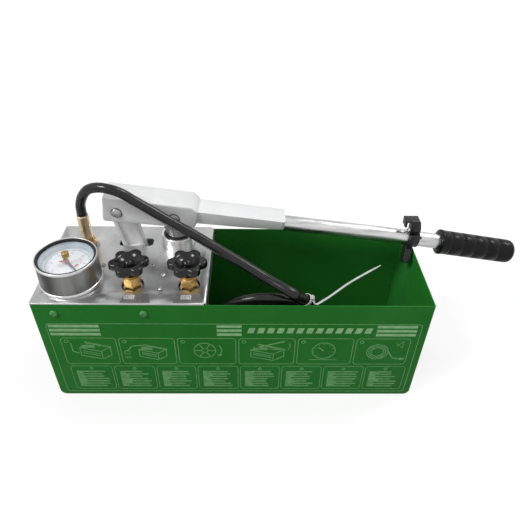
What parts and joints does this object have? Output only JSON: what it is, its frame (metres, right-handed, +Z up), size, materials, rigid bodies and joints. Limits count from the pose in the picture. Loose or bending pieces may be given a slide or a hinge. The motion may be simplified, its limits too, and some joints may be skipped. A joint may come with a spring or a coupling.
{
  "type": "hydrostatic test pump",
  "caption": "Hand-lever hydrostatic test pump: plunger pump, stop valves and pressure gauge on a steel deck over an open painted tank, with a coiled test hose.",
  "frame": {"origin": "centre of the tank's flat underside, on the surface it stands on", "axes": "+X along the tank towards the lever's grip, +Y to the back, away from the printed panel, +Z up"},
  "size_m": [0.6552, 0.1698, 0.2881],
  "materials": {
    "green_paint": "gloss paint on sheet steel",
    "stainless_sheet": "bright rolled sheet",
    "zinc_steel": "zinc plated",
    "dark_steel": "ground, oiled",
    "cast_aluminium": "cast and machined",
    "lever_paint": "satin silver paint",
    "brass": "machined",
    "black_rubber": "moulded, matt",
    "hose_rubber": "smooth covered hose",
    "black_plastic": "moulded",
    "black_gloss": "polished thermoset",
    "white_plastic": "moulded, milky",
    "dial_white": "matt white paint",
    "clear_window": "clear",
    "pointer_blue": "satin paint",
    "pointer_red": "satin paint"
  },
  "bodies": {
    "frame": {"tank_wrap": "green_paint", "tank_front_plate": "green_paint", "tank_back_plate": "green_paint", "flange_screw_front_1": "green_paint", "flange_screw_front_2": "green_paint", "flange_screw_back_1": "green_paint", "flange_screw_back_2": "green_paint", "deck_plate": "stainless_sheet", "deck_screw_1": "zinc_steel", "deck_screw_2": "zinc_steel", "deck_screw_3": "zinc_steel", "deck_screw_4": "zinc_steel", "pump_body": "cast_aluminium", "barrel": "cast_aluminium", "link_pin": "dark_steel", "wiper_ring": "black_rubber", "foot_valve_body": "brass", "foot_valve_ball": "zinc_steel", "suction_tube": "white_plastic", "suction_strainer": "black_plastic", "valve_bonnet_1": "brass", "valve_bonnet_2": "brass", "gauge_case": "stainless_sheet", "gauge_bezel": "stainless_sheet", "gauge_dial": "dial_white", "gauge_spacer": "dial_white", "gauge_window": "clear_window", "gauge_gasket": "black_rubber", "gauge_movement": "brass", "gauge_stem": "brass", "hose_stem": "zinc_steel", "hose_union_nut": "brass", "hose_ferrule": "brass", "hose_run": "hose_rubber", "hose_coil": "hose_rubber", "hose_end_ferrule": "brass", "hose_end_nut": "brass", "cable_tie": "white_plastic"},
    "plunger_rod": {"plunger": "dark_steel", "plunger_seal": "black_rubber"},
    "lever": {"lever_head": "lever_paint", "arm_channel": "lever_paint", "handle_tube": "zinc_steel", "grip": "black_rubber", "plunger_pin": "zinc_steel", "link_top_pin": "zinc_steel"},
    "link_arm": {"link": "cast_aluminium"},
    "clip": {"transport_clip": "black_plastic", "clip_screw": "zinc_steel"},
    "valve_1": {"valve_knob_1": "black_gloss", "valve_spindle_1": "zinc_steel"},
    "valve_2": {"valve_knob_2": "black_gloss", "valve_spindle_2": "zinc_steel"},
    "pointer": {"gauge_pointer": "pointer_blue"},
    "drag_pointer": {"gauge_drag_pointer": "pointer_red", "gauge_reset_knob": "brass"}
  },
  "joints": [
    {"name": "plunger_slide", "type": "slide", "parent": "frame", "child": "plunger_rod", "axis": [0, 0, 1], "range_m": [0, 0.0615]},
    {"name": "lever_swing", "type": "hinge", "parent": "plunger_rod", "child": "lever", "pos_m": [-0.0815, 0.044, 0.232], "axis": [0, -1, 0], "range_deg": [0, 48]},
    {"name": "link_swing", "type": "hinge", "parent": "lever", "child": "link_arm", "pos_m": [-0.15549, 0.044, 0.24072], "axis": [0, 1, 0], "range_deg": [0, 57.4]},
    {"name": "clip_turn", "type": "hinge", "parent": "lever", "child": "clip", "pos_m": [0.25005, 0.044, 0.18885], "axis": [0.9874, 0, -0.1585], "range_deg": [-50, 75]},
    {"name": "valve_turn_1", "type": "hinge", "parent": "frame", "child": "valve_1", "pos_m": [-0.13, -0.0464, 0.19], "axis": [0, 0, 1], "range_deg": [0, 540]},
    {"name": "valve_turn_2", "type": "hinge", "parent": "frame", "child": "valve_2", "pos_m": [-0.0584, -0.0464, 0.19], "axis": [0, 0, 1], "range_deg": [0, 540]},
    {"name": "pointer_turn", "type": "hinge", "parent": "frame", "child": "pointer", "pos_m": [-0.2102, -0.035, 0.206], "axis": [0, 0, -1], "range_deg": [0, 270]},
    {"name": "drag_pointer_turn", "type": "hinge", "parent": "frame", "child": "drag_pointer", "pos_m": [-0.2102, -0.035, 0.208], "axis": [0, 0, -1], "range_deg": [-30, 240]}
  ],
  "couplings": [
    {"joint": "plunger_slide", "follows": "lever_swing", "m_per_rad": 0.0733},
    {"joint": "link_swing", "follows": "lever_swing", "ratio": 1.194}
  ]
}
